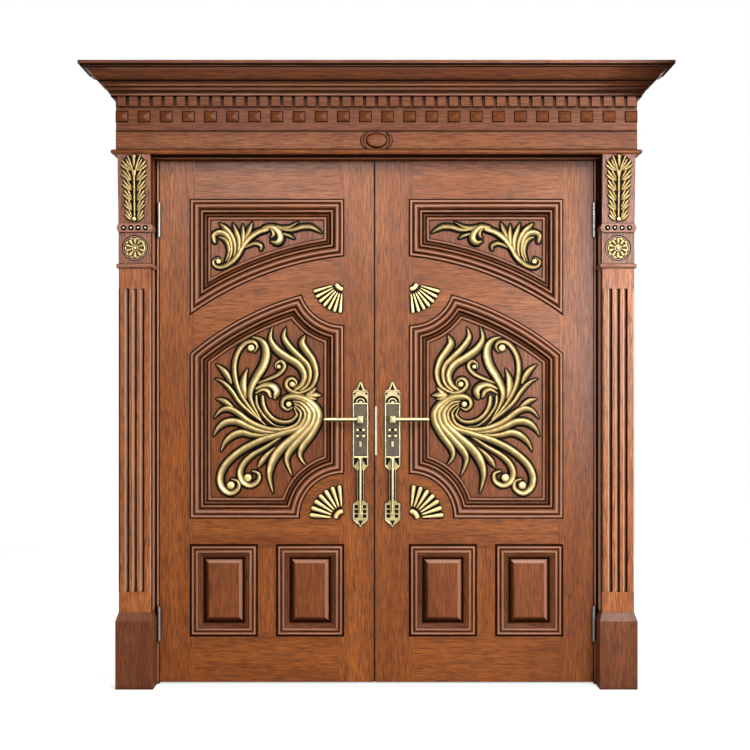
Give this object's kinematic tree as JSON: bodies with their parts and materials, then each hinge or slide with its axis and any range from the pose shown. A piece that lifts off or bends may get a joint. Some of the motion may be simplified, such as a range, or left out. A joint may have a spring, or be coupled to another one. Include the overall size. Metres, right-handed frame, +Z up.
{
  "type": "double door",
  "caption": "Carved wooden double door hung in its frame, with fluted pilasters, a dentil cornice, gilt feather carving and long lever handles.",
  "frame": {"origin": "on the floor, in the middle of the set's width and depth", "axes": "+Z up, -Y towards the carved front, +X to the right as seen from the front"},
  "size_m": [2.292, 0.36, 2.441],
  "materials": {
    "mahogany": "satin",
    "panel_wood": "satin",
    "jamb_wood": "satin",
    "gilt": "antique",
    "brass": "polished",
    "steel": "brushed"
  },
  "bodies": {
    "frame": {"left_jamb": "jamb_wood", "right_jamb": "jamb_wood", "head_jamb": "jamb_wood", "left_plinth": "mahogany", "right_plinth": "mahogany", "left_shaft": "mahogany", "right_shaft": "mahogany", "collars": "mahogany", "capital_blocks": "mahogany", "rosettes": "gilt", "pearl_bands": "mahogany", "pearls": "steel", "acanthus_leaves": "gilt", "base_bead": "mahogany", "fascia": "mahogany", "oval_boss": "mahogany", "frieze": "mahogany", "frieze_studs": "mahogany", "dentil_course": "mahogany", "crown": "mahogany", "jamb_hinge_plates": "steel", "hinge_pins": "steel"},
    "left_leaf": {"left_hinge_plates": "steel", "left_stiles": "mahogany", "left_rails": "mahogany", "left_upper_panel": "panel_wood", "left_main_panel": "panel_wood", "left_lower_panels": "panel_wood", "left_mouldings": "mahogany", "left_back_mouldings": "mahogany", "left_scroll": "gilt", "left_phoenix": "gilt", "left_fans": "gilt", "left_handle_plate": "brass", "left_pull": "brass", "left_escutcheon": "brass", "left_inner_plate": "brass", "strike_plate": "steel"},
    "right_leaf": {"right_hinge_plates": "steel", "right_stiles": "mahogany", "right_rails": "mahogany", "right_upper_panel": "panel_wood", "right_main_panel": "panel_wood", "right_lower_panels": "panel_wood", "right_mouldings": "mahogany", "right_back_mouldings": "mahogany", "right_scroll": "gilt", "right_phoenix": "gilt", "right_fans": "gilt", "right_handle_plate": "brass", "right_pull": "brass", "right_escutcheon": "brass", "right_inner_plate": "brass", "lock_case": "steel"},
    "left_lever": {"left_lever": "brass"},
    "right_lever": {"right_lever": "brass"},
    "latch": {"latch_bolt": "brass"},
    "deadbolt": {"deadbolt": "brass"},
    "thumbturn": {"thumbturn": "brass"}
  },
  "joints": [
    {"name": "left_leaf_swing", "type": "hinge", "parent": "frame", "child": "left_leaf", "pos_m": [-0.8685, 0.0228, 0.008], "axis": [0, 0, -1], "range_deg": [0, 90]},
    {"name": "right_leaf_swing", "type": "hinge", "parent": "frame", "child": "right_leaf", "pos_m": [0.8685, 0.0228, 0.008], "axis": [0, 0, 1], "range_deg": [0, 90]},
    {"name": "left_lever_turn", "type": "hinge", "parent": "left_leaf", "child": "left_lever", "pos_m": [-0.064, 0.03, 1.059], "axis": [0, -1, 0], "range_deg": [0, 40], "stiffness_Nm_per_rad": 1.5},
    {"name": "right_lever_turn", "type": "hinge", "parent": "right_leaf", "child": "right_lever", "pos_m": [0.064, 0.03, 1.059], "axis": [0, 1, 0], "range_deg": [0, 40], "stiffness_Nm_per_rad": 1.5},
    {"name": "latch_slide", "type": "slide", "parent": "right_leaf", "child": "latch", "axis": [1, 0, 0], "range_m": [0, 0.012]},
    {"name": "thumbturn_turn", "type": "hinge", "parent": "right_leaf", "child": "thumbturn", "pos_m": [0.064, 0.085, 0.987], "axis": [0, 1, 0], "range_deg": [0, 90]},
    {"name": "deadbolt_slide", "type": "slide", "parent": "right_leaf", "child": "deadbolt", "axis": [-1, 0, 0], "range_m": [0, 0.02]}
  ],
  "couplings": [
    {"joint": "latch_slide", "follows": "right_lever_turn", "m_per_rad": 0.017188},
    {"joint": "deadbolt_slide", "follows": "thumbturn_turn", "m_per_rad": 0.012732}
  ]
}
